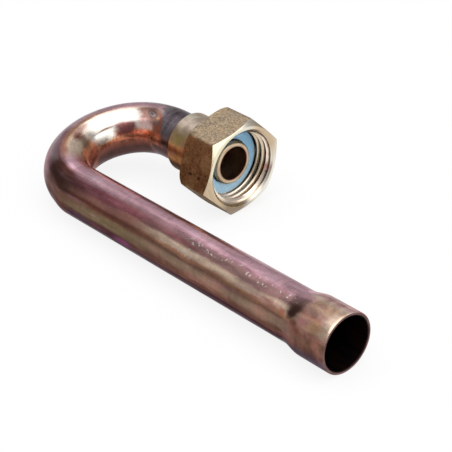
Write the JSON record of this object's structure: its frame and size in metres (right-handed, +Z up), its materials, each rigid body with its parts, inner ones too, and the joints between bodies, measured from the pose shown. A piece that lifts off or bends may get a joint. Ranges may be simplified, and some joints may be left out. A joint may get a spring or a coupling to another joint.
{
  "type": "return bend",
  "caption": "Copper return bend with a swaged bell on its long leg and a swivelling brass union nut with a flat washer on its short leg.",
  "frame": {"origin": "middle of the box round the whole part, on the surface that it lies on", "axes": "+Z up, square to the surface that the part lies on; +X along the legs, from the bend towards the bell's mouth; +Y from the long leg to the short leg"},
  "size_m": [0.1222, 0.0544, 0.0267],
  "materials": {
    "copper": "bare copper, tarnished, with heat tint by the joint",
    "turned_brass": "turned, heat stained",
    "filler_metal": "as run",
    "fibre": "matt pressed fibre",
    "pressed_brass": "grainy hot-pressed flats, machined face and thread"
  },
  "bodies": {
    "bend": {"copper_tube": "copper", "tail_piece": "turned_brass", "braze_joint": "filler_metal", "sealing_washer": "fibre"},
    "nut": {"union_nut": "pressed_brass"}
  },
  "joints": [
    {"name": "nut_swivel", "type": "hinge", "parent": "bend", "child": "nut", "pos_m": [-0.01542, 0.01384, 0.01337], "axis": [1, 0, 0.0086], "continuous": true}
  ]
}
